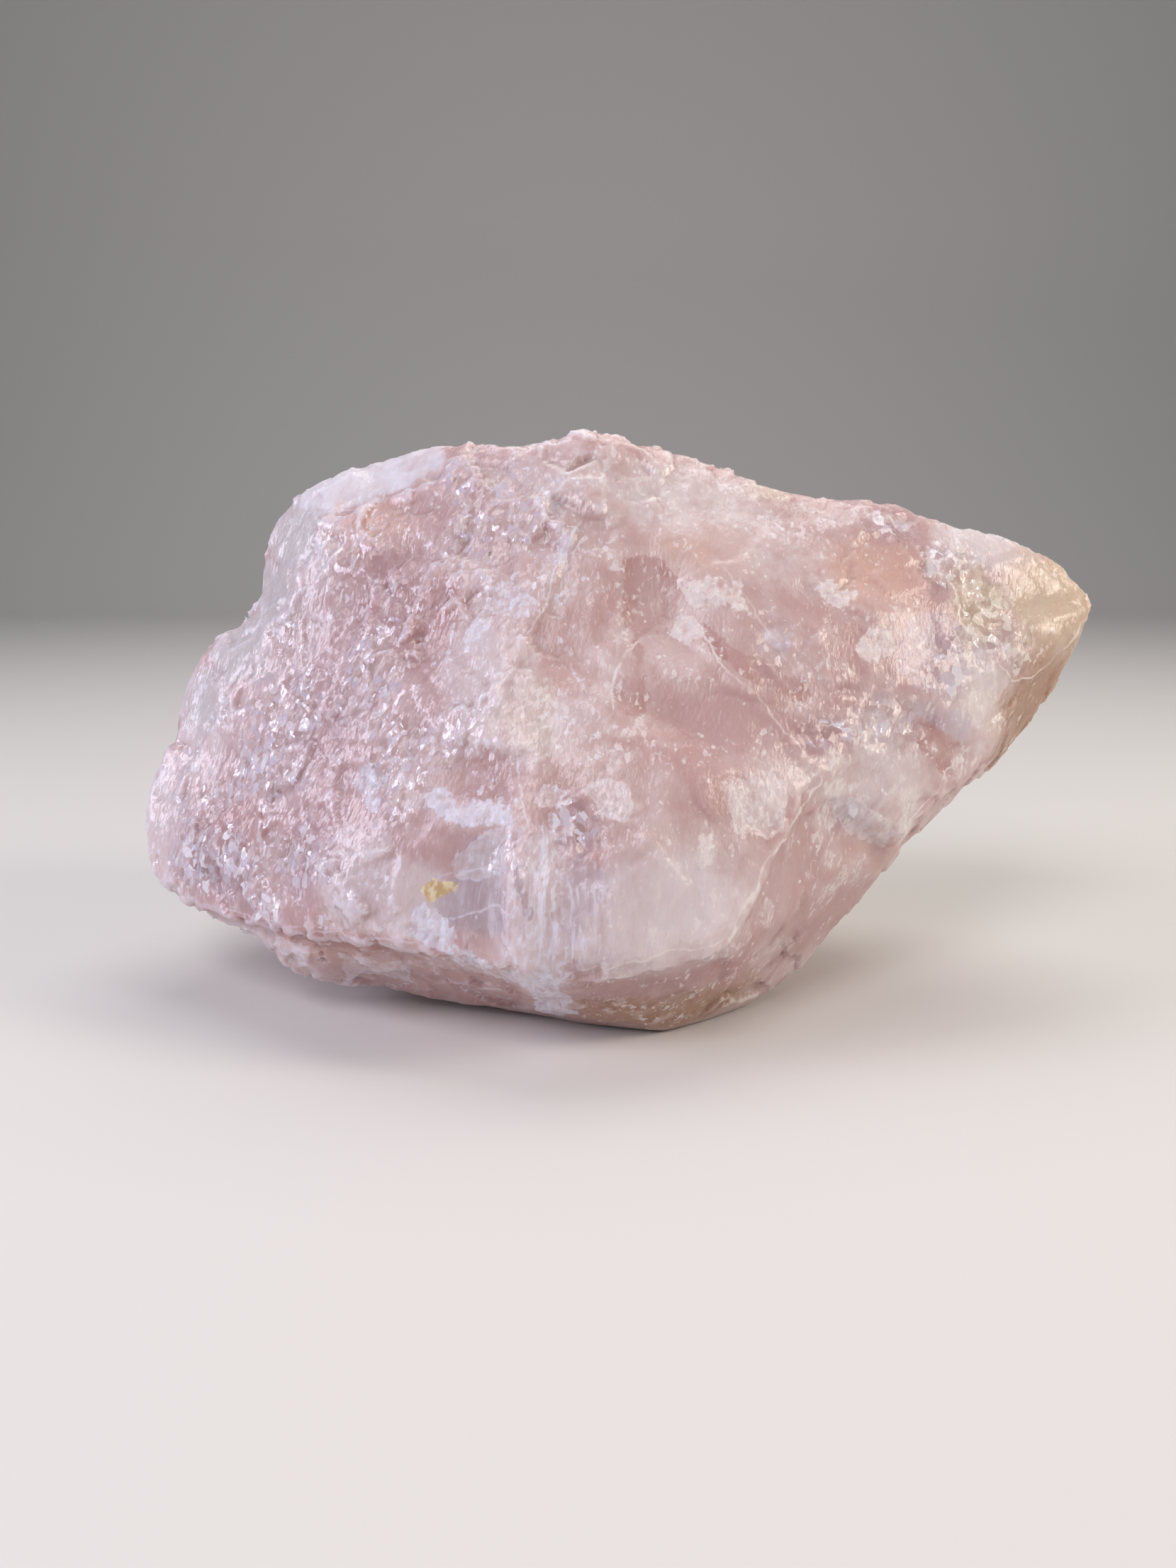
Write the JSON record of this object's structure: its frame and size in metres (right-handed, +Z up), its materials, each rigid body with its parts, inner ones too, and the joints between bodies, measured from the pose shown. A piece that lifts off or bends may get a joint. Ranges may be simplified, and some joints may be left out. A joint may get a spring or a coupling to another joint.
{
  "type": "rose quartz chunk",
  "caption": "Rough broken chunk of pink massive quartz, blunt at one end and drawn to a point at the other, standing on a flat break.",
  "frame": {"origin": "bottom centre of the chunk's bounding box, on the surface that it stands on", "axes": "+X towards the pointed end, -Y towards the large broken front, +Z up"},
  "size_m": [0.154, 0.076, 0.087],
  "materials": {
    "rose_quartz": "cloudy pink broken quartz, granular and waxy, with glassy spots and white bruised edges"
  },
  "bodies": {
    "root": {"quartz_chunk": "rose_quartz"}
  },
  "joints": []
}
